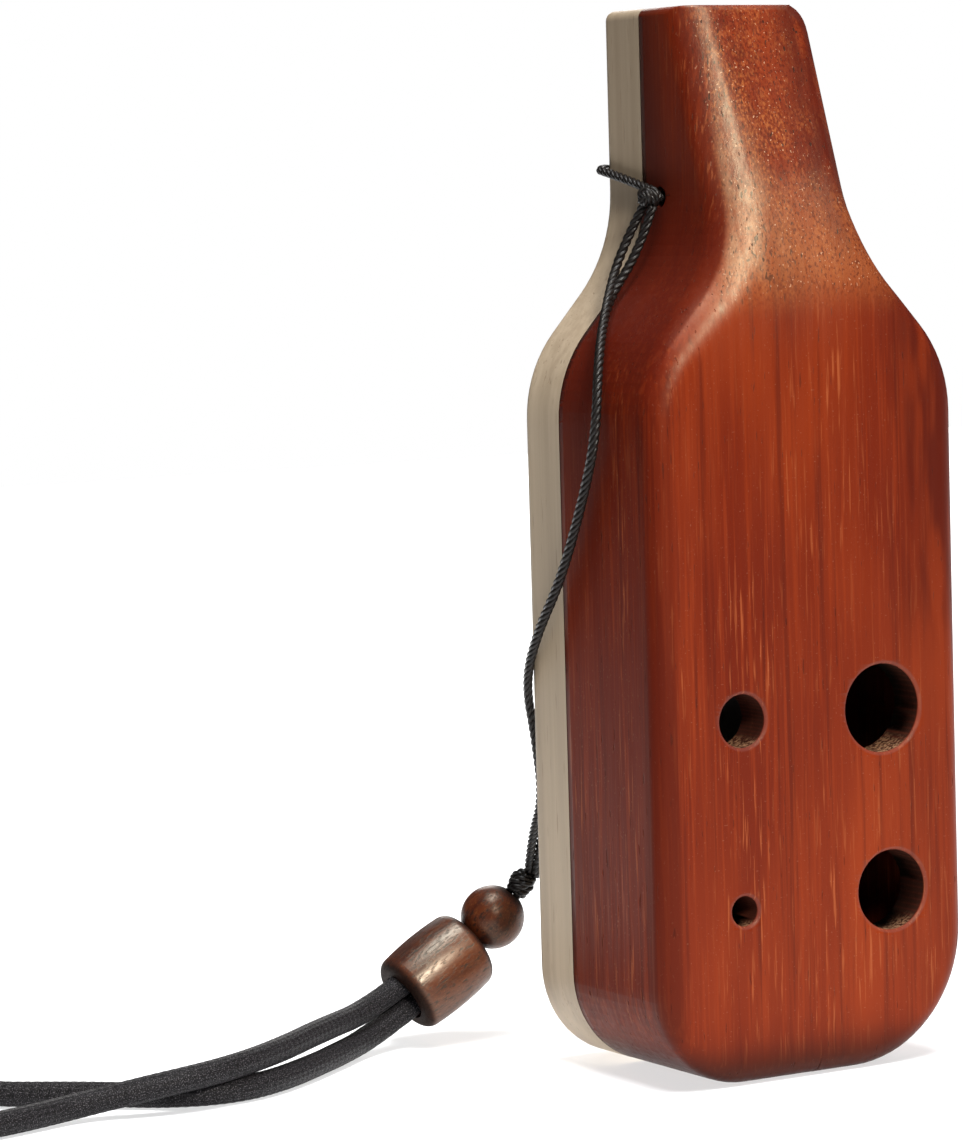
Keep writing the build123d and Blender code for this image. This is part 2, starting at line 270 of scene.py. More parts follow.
def frames_along(line):
    """For each point: its place, two untwisted directions across, and the distance travelled."""
    across = (line[1] - line[0]).orthogonal().normalized()
    travelled = 0
    frames = []
    for index, place in enumerate(line):
        before = line[max(index - 1, 0)]
        after = line[min(index + 1, len(line) - 1)]
        along = (after - before).normalized()
        across = (across - along * across.dot(along)).normalized()
        travelled += (place - before).length
        frames.append((place, across, along.cross(across), travelled))
    return frames


def ring_tube(line, sides, radius):
    """Vertices, faces and UVs of a tube. radius is a function of the distance and the angle.

    U is the distance in millimetres and V the turn from 0 to 1.
    """
    vertices = []
    distances = []
    for place, across, upward, travelled in frames_along(line):
        distances.append(travelled / MM)
        for side in range(sides):
            angle = math.tau * side / sides
            out = across * math.cos(angle) + upward * math.sin(angle)
            vertices.append(place + out * radius(travelled, angle))
    faces = []
    coords = []
    for ring in range(len(line) - 1):
        near, far = distances[ring], distances[ring + 1]
        for side in range(sides):
            beside = (side + 1) % sides
            a, b = ring * sides + side, ring * sides + beside
            faces.append((a, b, b + sides, a + sides))
            low, high = side / sides, (side + 1) / sides
            coords += [(near, low), (near, high), (far, high), (far, low)]
    faces.append(tuple(reversed(range(sides))))
    faces.append(tuple(range(len(vertices) - sides, len(vertices))))
    coords += [(distances[0], 0.5)] * sides + [(distances[-1], 0.5)] * sides
    return vertices, faces, coords


def mesh_object(name, parts, material):
    """One smooth-shaded object from several (vertices, faces, UVs)."""
    vertices, faces, coords = [], [], []
    for more, polygons, uvs in parts:
        start = len(vertices)
        vertices += more
        faces += [tuple(start + i for i in polygon) for polygon in polygons]
        coords += uvs
    mesh = bpy.data.meshes.new(name)
    mesh.from_pydata(vertices, [], faces)
    layer = mesh.uv_layers.new(name="cord")
    flat = [value for pair in coords for value in pair]
    layer.data.foreach_set("uv", flat)
    mesh.shade_smooth()
    mesh.materials.append(material)
    return placed(name, mesh)


def twisted_parts(line):
    """The thin cord's plies, wound round a line, as tubes."""
    ply_radius = THIN * PLY_SHARE
    offset = THIN / 2 - ply_radius
    parts = []
    for number in range(THIN_PLIES):
        strand = []
        for place, across, upward, travelled in frames_along(line):
            angle = math.tau * (travelled / THIN_PITCH + number / THIN_PLIES)
            strand.append(place + (across * math.cos(angle) + upward * math.sin(angle)) * offset)
        parts.append(ring_tube(strand, PLY_SIDES, lambda distance, angle: ply_radius))
    return parts


def coil_route():
    """Two layers of round turns: inwards on the surface, then outwards on top of them."""
    start = math.radians(COIL_START)
    end = math.radians(COIL_END)
    turns = COIL_TURNS + (start - end) / math.tau
    steps = round(turns * COIL_POINTS)
    widen = 1 / math.cos(math.pi / COIL_POINTS)
    route = []
    for step in range(steps + 1):
        share = step / steps
        angle = start - share * turns * math.tau
        radius = lerp(COIL_OUTER, COIL_INNER, 1 - abs(1 - 2 * share)) * widen
        climb = min(max((share - COIL_CLIMB_START) / COIL_CLIMB_SHARE, 0), 1)
        height = lerp(THICK / 2, THICK * 1.5, climb)
        route.append((COIL_X + radius * math.cos(angle), COIL_Y + radius * math.sin(angle), height))
    return route


def braid_radius(distance, angle):
    """The braid's rows of small diamonds, with a slow unevenness."""
    cell = math.cos(BRAID_CARRIERS * angle) + math.cos(math.tau * distance / (BRAID_PITCH * MM))
    uneven = math.sin(distance * 410) * math.sin(distance * 173 + 1)
    return THICK / 2 * (0.985 + 0.012 * cell + 0.012 * uneven * math.cos(2 * angle))


def make_neck_cord(material):
    route = NECK_LEG_A + coil_route() + NECK_LEG_B
    line = smooth_line(route, CORD_RESOLUTION)
    piece = mesh_object("neck_cord", [ring_tube(line, BRAID_SIDES, braid_radius)], material)
    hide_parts("neck_cord_a", "neck_cord_b", "neck_cord_coil")
    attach(piece, BODY)
    return piece, line


def make_leg(name, node, route, material):
    line = smooth_line(route, LEG_RESOLUTION)
    piece = mesh_object(name, twisted_parts(line), material)
    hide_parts(node)
    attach(piece, BODY)
    return piece, line


# ---- shader helpers


def add(tree, kind, settings=None, **inputs):
    """A node with its settings and its inputs: values or links, by name, or by number as i0, i1."""
    node = tree.nodes.new(kind)
    for name, value in (settings or {}).items():
        setattr(node, name, value)
    for name, value in inputs.items():
        numbered = name[0] == "i" and name[1:].isdigit()
        socket = node.inputs[int(name[1:]) if numbered else name]
        if isinstance(value, bpy.types.NodeSocket):
            tree.links.new(value, socket)
        else:
            socket.default_value = value
    return node


def maths(tree, operation, *values):
    """The values joined one after another with one operation."""
    result = values[0]
    for value in values[1:]:
        result = add(tree, "ShaderNodeMath", {"operation": operation}, i0=result, i1=value).outputs[0]
    return result


def product(tree, *factors):
    return maths(tree, "MULTIPLY", *factors)


def ranged(tree, value, low, high, to_low=0.0, to_high=1.0):
    """The value moved from one range to another, smoothly and clamped."""
    node = add(
        tree, "ShaderNodeMapRange", {"interpolation_type": "SMOOTHSTEP"},
        i0=value, i1=low, i2=high, i3=to_low, i4=to_high,
    )
    return node.outputs[0]


def window(tree, value, start, full, fade, end):
    """One from full to fade, falling to nothing at start and end."""
    return product(tree, ranged(tree, value, start, full), ranged(tree, value, end, fade))


def blended(tree, amount, first, second):
    """A colour part of the way from the first to the second; each is a socket or an RGB."""
    if not isinstance(first, bpy.types.NodeSocket):
        first = (*first, 1)
    if not isinstance(second, bpy.types.NodeSocket):
        second = (*second, 1)
    mix = add(tree, "ShaderNodeMix", {"data_type": "RGBA"}, i0=amount, i6=first, i7=second)
    return mix.outputs[2]


def grain_noise(tree, place, grain):
    """Noise drawn out along Z, for one row of a table of grains."""
    scale, stretch, detail, shift = grain
    mapping = add(
        tree, "ShaderNodeMapping", Vector=place,
        Location=(shift, shift * 0.7, shift * 0.3), Scale=(scale, scale, scale * stretch),
    )
    noise = add(
        tree, "ShaderNodeTexNoise", Vector=mapping.outputs[0], Scale=1.0, Detail=detail, Roughness=0.55,
    )
    return noise.outputs[0]


def new_material(name, **constants):
    """A material, its tree and its shader, with constants set by socket name, _ for a space."""
    material = bpy.data.materials.new(name)
    material.use_nodes = True
    tree = material.node_tree
    shader = tree.nodes["Principled BSDF"]
    for socket, value in constants.items():
        shader.inputs[socket.replace("_", " ")].default_value = value
    return material, tree, shader


def drive(tree, shader, **values):
    """Links into the shader by socket name, _ for a space."""
    for socket, value in values.items():
        tree.links.new(value, shader.inputs[socket.replace("_", " ")])


def finish_bump(tree, shader, height, distance, strength):
    bump = add(tree, "ShaderNodeBump", Height=height, Distance=distance, Strength=strength)
    drive(tree, shader, Normal=bump.outputs[0])


def read_spot(tree):
    """Sockets with the place on the object and the way the surface faces, axis by axis."""
    coords = add(tree, "ShaderNodeTexCoord")
    place = add(tree, "ShaderNodeSeparateXYZ", Vector=coords.outputs["Object"])
    facing = add(tree, "ShaderNodeSeparateXYZ", Vector=coords.outputs["Normal"])
    spot = {"place": coords.outputs["Object"]}
    for axis in "XYZ":
        spot[axis] = place.outputs[axis]
        spot["facing_" + axis] = facing.outputs[axis]
    return spot


# ---- materials


def streaks_over(tree, noise, low, high, amount, colour, streak):
    """The colour with streaks of another where the noise passes from low to high."""
    return blended(tree, ranged(tree, noise, low, high, 0.0, amount), colour, streak)


def hole_distance(tree, spot):
    """How far outside the nearest finger hole's wall a place is, in metres, seen from the front."""
    flat = add(tree, "ShaderNodeCombineXYZ", X=spot["X"], Z=spot["Z"]).outputs[0]
    distances = []
    for x, z, radius in FINGER_HOLES:
        reach = add(tree, "ShaderNodeVectorMath", {"operation": "DISTANCE"}, i0=flat, i1=(x, 0, z))
        distances.append(maths(tree, "SUBTRACT", reach.outputs["Value"], radius))
    return maths(tree, "MINIMUM", *distances)


def ramp_share(tree, spot):
    """One on the ramp, nothing on the upright face and the sides."""
    return product(
        tree, ranged(tree, spot["Z"], 0.0915, 0.0985), ranged(tree, spot["facing_Y"], -0.45, -0.80),
    )


def shaded_hollow_share(tree, spot):
    """Painted shade in the hollow of the left shoulder, up to the ridge beside the ramp."""
    return product(
        tree,
        window(tree, spot["Z"], 0.080, 0.090, 0.101, 0.112),
        ranged(tree, spot["facing_X"], -0.40, -0.60),
        ranged(tree, spot["facing_Y"], -0.64, -0.50, 0.0, HOLLOW_SHADE_DEPTH),
    )


def streaked_colour(tree, place):
    """Patches of two reds, then dark, orange and light streaks along the grain."""
    patches = grain_noise(tree, place, RED_GRAINS["patches"])
    colour = blended(tree, ranged(tree, patches, 0.32, 0.70), DEEP_RED, ORANGE_RED)
    dark = grain_noise(tree, place, RED_GRAINS["dark_streaks"])
    colour = streaks_over(tree, dark, 0.52, 0.72, 0.55, colour, DARK_STREAK_AND_SHADE)
    orange = grain_noise(tree, place, RED_GRAINS["orange_streaks"])
    colour = streaks_over(tree, orange, 0.50, 0.66, 0.50, colour, ORANGE_RED)
    groups = ranged(tree, grain_noise(tree, place, RED_GRAINS["streak_groups"]), 0.40, 0.66, 0.15, 1.0)
    light = ranged(tree, grain_noise(tree, place, RED_GRAINS["light_streaks"]), 0.57, 0.70, 0.0, 0.72)
    return blended(tree, product(tree, groups, light), colour, LIGHT_STREAK)


def ramp_colour(tree, spot, ramp, colour):
    """The slanting grain of the ramp: a painted orange sheen at its foot, freckles, a painted sheen
    beside the ridge and painted glints.
    """
    place = spot["place"]
    # Painted sheen: the foot of the ramp lighter and more orange
    foot = product(tree, ramp, ranged(tree, spot["Z"], 0.112, 0.099, 0.0, 0.42))
    colour = blended(tree, foot, colour, FRECKLE_AND_SHEEN)
    freckles = grain_noise(tree, place, RED_GRAINS["freckles"])
    blotches = ranged(tree, grain_noise(tree, place, RED_GRAINS["blotches"]), 0.36, 0.66)
    warm = product(tree, ramp, ranged(tree, freckles, 0.50, 0.68, 0.12, 0.70), blotches)
    colour = blended(tree, warm, colour, FRECKLE_AND_SHEEN)
    shade = product(tree, ramp, ranged(tree, freckles, 0.46, 0.34, 0.0, 0.65))
    colour = blended(tree, shade, colour, DARK_STREAK_AND_SHADE)
    # Painted highlight: a beige sheen on the ramp beside the ridge
    ridge_sheen = product(
        tree,
        window(tree, spot["Z"], 0.0955, 0.1005, 0.108, 0.120),
        ranged(tree, spot["X"], -0.0010, -0.0075, 0.0, 0.55),
        ranged(tree, spot["facing_Y"], -0.55, -0.72),
        blotches,
    )
    colour = blended(tree, ridge_sheen, colour, PAINTED_SHEEN)
    # Painted glints: small bright specks on the ramp
    painted_glints = ranged(tree, grain_noise(tree, place, RED_GRAINS["painted_glints"]), 0.75, 0.82, 0.0, 0.7)
    painted_glints = product(tree, painted_glints, ranged(tree, ramp, 0, 1, 0.12, 0.9))
    return blended(tree, painted_glints, colour, PAINTED_GLINT)


def dark_edge_and_shade_share(tree, spot, shaded_hollow):
    """Darker towards the right edge; painted shade in the left shoulder's hollow, on the front left
    corner, along the side by the seam and round the foot.
    """
    body_edge = product(
        tree, ranged(tree, spot["X"], 0.0095, 0.0165), ranged(tree, spot["Z"], 0.040, 0.070, 0.28, 0.95),
    )
    neck_edge = product(
        tree, ranged(tree, spot["X"], 0.0000, 0.0070), ranged(tree, spot["Z"], 0.095, 0.112, 0.0, 0.95),
    )
    knotty = grain_noise(tree, spot["place"], RED_GRAINS["knotty"])
    right_edge = product(
        tree, maths(tree, "MAXIMUM", body_edge, neck_edge), ranged(tree, knotty, 0.36, 0.58, 0.42, 1.0),
    )
    up_neck = maths(tree, "MAXIMUM", maths(tree, "SUBTRACT", spot["Z"], 0.100), 0.0)
    depth = maths(tree, "SUBTRACT", spot["Y"], product(tree, up_neck, 0.26))
    # Painted shade along the side by the seam, and lower down beside it
    seam_side = product(
        tree, ranged(tree, depth, -0.0085, 0.0010, 0.0, 0.86), ranged(tree, spot["Z"], 0.055, 0.090),
    )
    low_seam = product(
        tree, ranged(tree, spot["Z"], 0.038, 0.024), ranged(tree, spot["Y"], -0.0030, 0.0045, 0.0, 0.42),
    )
    # Painted shade on the rounding of the front left corner
    corner = product(
        tree,
        ranged(tree, spot["X"], -0.0190, -0.0203),
        ranged(tree, spot["Y"], -0.0100, -0.0122),
        ranged(tree, spot["Z"], 0.048, 0.068, 0.66, 0.42),
    )
    # Painted shade round the foot, by the floor
    foot = ranged(tree, spot["Z"], 0.0090, 0.0025, 0.0, 0.50)
    return maths(tree, "MAXIMUM", right_edge, seam_side, shaded_hollow, low_seam, foot, corner)


def seam_and_foot_shade_share(tree, spot):
    """Painted shade, the darkest: along the neck's seam and round the edge of the foot."""
    by_seam = product(
        tree, ranged(tree, spot["Y"], 0.0005, 0.0045, 0.0, 0.32), ranged(tree, spot["Z"], 0.100, 0.112),
    )
    return maths(tree, "MAXIMUM", by_seam, ranged(tree, spot["Z"], 0.0060, 0.0012, 0.0, 0.75))


def pored_colour(tree, spot, ramp, pores, colour):
    """Fine pores everywhere, plainer on the ramp, and short dashes by the ridge."""
    colour = blended(tree, product(tree, pores, ranged(tree, ramp, 0, 1, 0.4, 0.85)), colour, PORE)
    dashes = ranged(tree, grain_noise(tree, spot["place"], RED_GRAINS["dashes"]), 0.71, 0.75)
    by_ridge = ranged(tree, spot["X"], -0.0010, -0.0060, 0.0, 0.8)
    return blended(tree, product(tree, dashes, ramp, by_ridge), colour, PORE)


def hole_colour(tree, spot, colour):
    """Greyish rims round the finger holes, with painted shade on their walls and painted light on the
    lower, upward-facing part of each wall. Also says where the walls are.
    """
    outside = hole_distance(tree, spot)
    rim = product(
        tree,
        ranged(tree, outside, -0.00005, 0.00005),
        ranged(tree, outside, 0.00022, 0.00050, 1.0, 0.0),
        0.20,
    )
    colour = blended(tree, rim, colour, HOLE_RIM)
    wall = product(
        tree, ranged(tree, outside, 0.00004, -0.00002), ranged(tree, spot["Y"], -0.01455, -0.0141),
    )
    # Painted light in patches on the upward-facing lower part of each wall, over its painted shade
    wall_light_patches = ranged(tree, grain_noise(tree, spot["place"], RED_GRAINS["wall_light_patches"]), 0.42, 0.60)
    lit_low_side = ranged(tree, spot["facing_Z"], 0.62, 0.98)
    painted_wall = blended(tree, product(tree, wall_light_patches, lit_low_side), HOLE_WALL_SHADE, HOLE_WALL_LIGHT)
    return blended(tree, wall, colour, painted_wall), wall


def gloss_share(tree, spot, ramp, shaded_hollow):
    """How polished the wood is: most along the ridge, least on the body and the sanded ramp."""
    sanded = product(
        tree, ramp, ranged(tree, spot["facing_Y"], -0.86, -0.94), ranged(tree, spot["Z"], 0.104, 0.114),
    )
    return product(
        tree,
        ranged(tree, spot["Z"], 0.082, 0.106),
        ranged(tree, spot["Z"], 0.127, 0.108, 0.55, 1.0),
        ranged(tree, sanded, 0, 1, 1.0, 0.4),
        ranged(tree, spot["facing_X"], -0.97, -0.86, 0.3, 1.0),
        ranged(tree, spot["X"], 0.002, 0.010, 1.0, 0.5),
        ranged(tree, shaded_hollow, 0.0, HOLLOW_SHADE_DEPTH, 1.0, 0.25),
    )


def red_wood():
    """Oiled red hardwood: streaks along the grain, pores, a freckled ramp and a darker right edge, with
    painted shade, painted highlights and painted glints.
    """
    material, tree, shader = new_material(
        "red_hardwood", IOR=1.5, Specular_Tint=(1.0, 0.93, 0.66, 1),
    )
    spot = read_spot(tree)
    place = spot["place"]
    ramp = ramp_share(tree, spot)
    shaded_hollow = shaded_hollow_share(tree, spot)
    pores = ranged(tree, grain_noise(tree, place, RED_GRAINS["pores"]), 0.70, 0.75)

    colour = streaked_colour(tree, place)
    colour = ramp_colour(tree, spot, ramp, colour)
    colour = blended(tree, dark_edge_and_shade_share(tree, spot, shaded_hollow), colour, DARK_STREAK_AND_SHADE)
    colour = blended(tree, seam_and_foot_shade_share(tree, spot), colour, SEAM_SHADE)
    colour = pored_colour(tree, spot, ramp, pores, colour)
    colour, wall = hole_colour(tree, spot, colour)

    gloss = gloss_share(tree, spot, ramp, shaded_hollow)
    level = ranged(tree, gloss, 0, 1, 0.13, 0.95)
    fibres = grain_noise(tree, place, RED_GRAINS["fibres"])
    rough = maths(
        tree, "ADD", ranged(tree, fibres, 0.3, 0.7, 0.36, 0.46),
        product(tree, pores, 0.25), product(tree, wall, 0.35), product(tree, ramp, 0.08),
    )
    drive(tree, shader, Base_Color=colour, Specular_IOR_Level=level, Roughness=rough)
    dimples = grain_noise(tree, place, RED_GRAINS["dimples"])
    dimples = product(tree, dimples, ranged(tree, ramp, 0, 1, 0.15, 1.2))
    height = maths(tree, "SUBTRACT", maths(tree, "ADD", product(tree, fibres, 0.5), dimples), pores)
    finish_bump(tree, shader, height, 0.00005, 0.7)
    return material


def pale_wood():
    """Grey-brown close-grained hardwood, darker up the neck, with painted shade on its inside face."""
    material, tree, shader = new_material("pale_hardwood", IOR=1.5)
    spot = read_spot(tree)
    place = spot["place"]
    bands = grain_noise(tree, place, PALE_GRAINS["bands"])
    fibres = grain_noise(tree, place, PALE_GRAINS["fibres"])
    pores = grain_noise(tree, place, PALE_GRAINS["pores"])
    colour = blended(tree, ranged(tree, bands, 0.3, 0.7), PALE_DEEP, PALE_LIGHT)
    colour = streaks_over(tree, fibres, 0.35, 0.72, 0.4, colour, PALE_FIBRE)
    colour = blended(tree, ranged(tree, spot["Z"], 0.085, 0.110, 0.0, 0.4), colour, PALE_NECK)
    colour = streaks_over(tree, pores, 0.66, 0.74, 0.5, colour, PALE_PORE)
    # Painted shade on the inside face, in the chamber
    colour = blended(tree, ranged(tree, spot["facing_Y"], -0.5, -0.9), colour, PALE_INSIDE_SHADE)
    rough = ranged(tree, fibres, 0.3, 0.7, 0.42, 0.55)
    drive(tree, shader, Base_Color=colour, Roughness=rough)
    height = maths(tree, "SUBTRACT", product(tree, fibres, 0.3), ranged(tree, pores, 0.64, 0.74))
    finish_bump(tree, shader, height, 0.00004, 0.5)
    return material


def bead_wood(name, centre, axis, half_length, shine):
    """Dark stained wood, with its grain along the bead's own axis and nearly black ends."""
    material, tree, shader = new_material(name, IOR=1.5, Specular_Tint=(1.0, 0.90, 0.72, 1))
    place = add(tree, "ShaderNodeTexCoord").outputs["Object"]
    turn = Vector(axis).rotation_difference(Vector((0, 0, 1))).to_euler()
    moved = add(tree, "ShaderNodeVectorMath", {"operation": "SUBTRACT"}, i0=place, i1=tuple(centre))
    turned = add(
        tree, "ShaderNodeVectorRotate", {"rotation_type": "EULER_XYZ"},
        Vector=moved.outputs[0], Rotation=turn,
    )
    local = turned.outputs[0]
    bands = grain_noise(tree, local, BEAD_GRAINS["bands"])
    fibres = grain_noise(tree, local, BEAD_GRAINS["fibres"])
    pores = grain_noise(tree, local, BEAD_GRAINS["pores"])
    mottle = grain_noise(tree, local, BEAD_GRAINS["mottle"])
    colour = blended(tree, ranged(tree, bands, 0.34, 0.66), BEAD_DARK, BEAD_RED)
    colour = streaks_over(tree, fibres, 0.45, 0.75, 0.5, colour, BEAD_FIBRE)
    colour = streaks_over(tree, mottle, 0.54, 0.68, 0.42, colour, BEAD_MOTTLE)
    colour = streaks_over(tree, pores, 0.56, 0.66, 0.9, colour, BEAD_PORE)
    along = add(tree, "ShaderNodeSeparateXYZ", Vector=local).outputs["Z"]
    reach = maths(tree, "ABSOLUTE", along, 0.0)
    ends = ranged(tree, reach, half_length - 0.0013, half_length - 0.0002, 0.0, 0.9)
    colour = blended(tree, ends, colour, BEAD_END)
    rough = maths(tree, "ADD", ranged(tree, pores, 0.40, 0.66, 0.31, 0.45), product(tree, ends, 0.3))
    level = ranged(tree, ends, 0.0, 0.9, shine, 0.10)
    drive(tree, shader, Base_Color=colour, Specular_IOR_Level=level, Roughness=rough)
    grit = maths(tree, "ADD", product(tree, fibres, 0.3), product(tree, mottle, 0.6))
    height = maths(tree, "SUBTRACT", grit, ranged(tree, pores, 0.54, 0.66))
    finish_bump(tree, shader, height, 0.00004, 0.28)
    return material


def drawn_noise(tree, uv, across, scale, detail):
    """Noise in a cord's own UV, drawn out along it. across is along and round the cord."""
    mapping = add(tree, "ShaderNodeMapping", Vector=uv, Scale=(*across, 1.0))
    noise = add(tree, "ShaderNodeTexNoise", Vector=mapping.outputs[0], Scale=scale, Detail=detail)
    return noise.outputs[0]


def thin_cord_material():
    """Waxed black cord: glossy plies with fine filaments along them."""
    material, tree, shader = new_material("waxed_cord", IOR=1.45, Specular_IOR_Level=0.4)
    uv = add(tree, "ShaderNodeTexCoord").outputs["UV"]
    filaments = drawn_noise(tree, uv, (1.2, 26.0), 1.0, 2.0)
    colour = blended(tree, ranged(tree, filaments, 0.35, 0.75), WAXED_DARK, WAXED_LIGHT)
    rough = ranged(tree, filaments, 0.3, 0.7, 0.30, 0.48)
    drive(tree, shader, Base_Color=colour, Roughness=rough)
    finish_bump(tree, shader, filaments, 0.00004, 0.8)
    return material


def thick_cord_material():
    """Matt black braid: rows of small diamonds with painted shade in the grooves between them, fine
    filaments and scattered glints.
    """
    material, tree, shader = new_material(
        "braided_cord", IOR=1.46, Specular_IOR_Level=0.18, Sheen_Weight=0.02, Sheen_Roughness=0.4,
    )
    uv = add(tree, "ShaderNodeTexCoord").outputs["UV"]
    split = add(tree, "ShaderNodeSeparateXYZ", Vector=uv)
    along = product(tree, split.outputs[0], math.tau / BRAID_PITCH)
    around = product(tree, split.outputs[1], BRAID_CARRIERS * math.tau)
    cells = maths(tree, "ADD", maths(tree, "COSINE", along, 0.0), maths(tree, "COSINE", around, 0.0))
    filaments = drawn_noise(tree, uv, (5.0, 46.0), 1.0, 3.0)
    glints = drawn_noise(tree, uv, (5.0, 46.0), 1.3, 2.0)
    # Painted shade: darker in the braid's grooves, lighter on its raised diamonds
    colour = blended(tree, ranged(tree, cells, -1.6, 1.4), BRAID_GROOVE_SHADE, BRAID_LIGHT)
    colour = streaks_over(tree, glints, 0.55, 0.68, 0.9, colour, BRAID_GLINT)
    rough = ranged(tree, glints, 0.4, 0.7, 0.62, 0.42)
    drive(tree, shader, Base_Color=colour, Roughness=rough)
    height = maths(tree, "ADD", product(tree, cells, 0.22), filaments)
    finish_bump(tree, shader, height, 0.00010, 0.9)
    return material


def tie_material():
    """Matt woven strap of small loops."""
    material, tree, shader = new_material(
        "woven_strap", IOR=1.46, Roughness=0.75, Sheen_Weight=0.4,
    )
    place = add(tree, "ShaderNodeTexCoord").outputs["Object"]
    loops = add(tree, "ShaderNodeTexVoronoi", Vector=place, Scale=2600.0).outputs[0]
    colour = blended(tree, ranged(tree, loops, 0.1, 0.6), TIE_LIGHT, TIE_DARK)
    drive(tree, shader, Base_Color=colour)
    finish_bump(tree, shader, loops, 0.0001, 0.8)
    return material


# ---- knots and loop


KNOT_STEPS = 24
KNOT_RESOLUTION = 10
KNOT_TURN = 50  # degrees between the two knots that are drawn
KNOT_INNER = 0.9  # size of the inner one against the outer
STRAND_OFFSET = 0.00062  # from the middle of the bores to each strand
STRAND_RESOLUTION = 12


def knot_line(centre, axis, radius, length):
    """An overhand knot drawn round a centre: a trefoil with its three lobes round the axis."""
    turn = Vector((0, 0, 1)).rotation_difference(Vector(axis))
    route = []
    for step in range(KNOT_STEPS + 1):
        angle = math.tau * step / KNOT_STEPS
        reach = 0.62 + 0.38 * math.cos(3 * angle)
        place = Vector((
            radius * reach * math.cos(2 * angle),
            radius * reach * math.sin(2 * angle),
            length / 2 * math.sin(3 * angle),
        ))
        route.append(tuple(Vector(centre) + turn @ place))
    return smooth_line(route, KNOT_RESOLUTION)


def make_knot(name, node, centre, axis, radius, length, material):
    """Two overhand knots of the twisted cord, one inside the other and turned against it."""
    centre = Vector(centre)
    outer = knot_line(centre, axis, radius - THIN / 2, length - THIN)
    turn = Quaternion(Vector(axis), math.radians(KNOT_TURN))
    inner = [centre + turn @ (place - centre) * KNOT_INNER for place in outer]
    piece = mesh_object(name, twisted_parts(outer) + twisted_parts(inner), material)
    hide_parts(node)
    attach(piece, BODY)
    return piece


def make_neck_loop(material):
    low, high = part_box("neck_loop")
    side = high.x - THIN / 2
    behind = high.y - THIN / 2
    top = high.z - THIN / 2
    bottom = low.z + THIN / 2
    bend = 0.0021
    route = [
        (-side, 0.0028, bottom + 0.0008),
        (-side, 0.0085, lerp(bottom, top, 0.6)),
        (-side, behind - bend, top - 0.0004),
        (-side, behind, top),
        (-side + bend, behind, top),
        (0.0, behind, top - 0.0002),
        (side - bend, behind, top),
        (side, behind, top),
        (side, behind - bend, top - 0.0004),
        (side, 0.0085, lerp(bottom, top, 0.5)),
        (side, 0.0036, bottom + 0.0003),
        (side, 0.0024, bottom),
        (side - 0.0012, 0.0024, bottom),
        (0.0, 0.0024, bottom),
        (-side + 0.0004, 0.0024, bottom),
    ]
    line = smooth_line(route, CORD_RESOLUTION)
    piece = mesh_object("tied_loop", twisted_parts(line), material)
    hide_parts("neck_loop")
    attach(piece, BODY)
    return piece


def make_bead_strands(material):
    """The two strands that run through the round bead and into the barrel."""
    bead = JOINTS["round_bead_spin"]
    barrel = JOINTS["barrel_bead_spin"]
    centre, bead_axis = Vector(bead["pos_m"]), Vector(bead["axis"])
    top, barrel_axis = Vector(barrel["pos_m"]), Vector(barrel["axis"])
    across = bead_axis.cross(barrel_axis).normalized() * STRAND_OFFSET
    parts = []
    for side in (-1, 1):
        route = [
            centre - bead_axis * 0.0052,
            centre,
            top - bead_axis * 0.0012,
            top + barrel_axis * 0.0012,
            top + barrel_axis * 0.00264,
        ]
        line = smooth_line([tuple(place + across * side) for place in route], STRAND_RESOLUTION)
        parts += twisted_parts(line)
    piece = mesh_object("bead_strands", parts, material)
    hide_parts("bead_cord")
    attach(piece, BODY)
    return piece


# ---- the carved front

# Radius of the front edge at each height, as (z, radius)
LEFT_ROUNDING = [
    (0.0, 0.0027), (0.078, 0.0027), (0.088, 0.0042), (0.097, 0.0056), (0.106, 0.0058),
    (0.116, 0.0058), (0.124, 0.0054), (0.130, 0.0050),
]
RIGHT_ROUNDING = [
    (0.0, 0.0026), (0.095, 0.0027), (0.105, 0.0032), (0.122, 0.0028), (0.130, 0.0026),
]
SKIN_INSET = 0.00002
SECTION_GAP = 0.0015  # from the seam to the cut that the outline is read from
SEAM_OVERLAP = 0.001
RIM = 0.0036  # the outline is read up to this far below the mouth end
OVERSHOOT = 0.003  # how far the skin goes on above the mouth end
CORNER_WIDTH = 0.0020  # rounding of the mouth end's right corner, across and down
CORNER_HEIGHT = 0.0035
CORNER_REACH = 0.00186  # how far across it has come at the top
SPINE_FOOT = 0.010  # rows below this height bend up towards it in the middle
SPINE_FOLLOWS = 0.15  # how much of the way they keep to their own height there
OUTLINE_GAP = 0.0035  # longest step between rows, as a share of the outline
FACE_STEPS = 12
ARC_STEPS = 10
PROFILE_START = 0.006  # heights at which the face is measured
PROFILE_STEP = 0.0005
PROFILE_COUNT = 245
PROFILE_BEYOND = 0.004  # how far the face is carried on above the last of them
SOFT_NEIGHBOURS = 14  # neighbours and distance that inward normals are averaged over
SOFT_REACH = 0.0016
SHARP_ANGLE = 32  # degrees
SAME_PLACE = 1e-7  # points closer than this are one point


def merged(mesh):
    """The mesh as a bmesh whose faces share their corners."""
    bm = bmesh.new()
    bm.from_mesh(mesh)
    bmesh.ops.remove_doubles(bm, verts=bm.verts, dist=SAME_PLACE)
    return bm


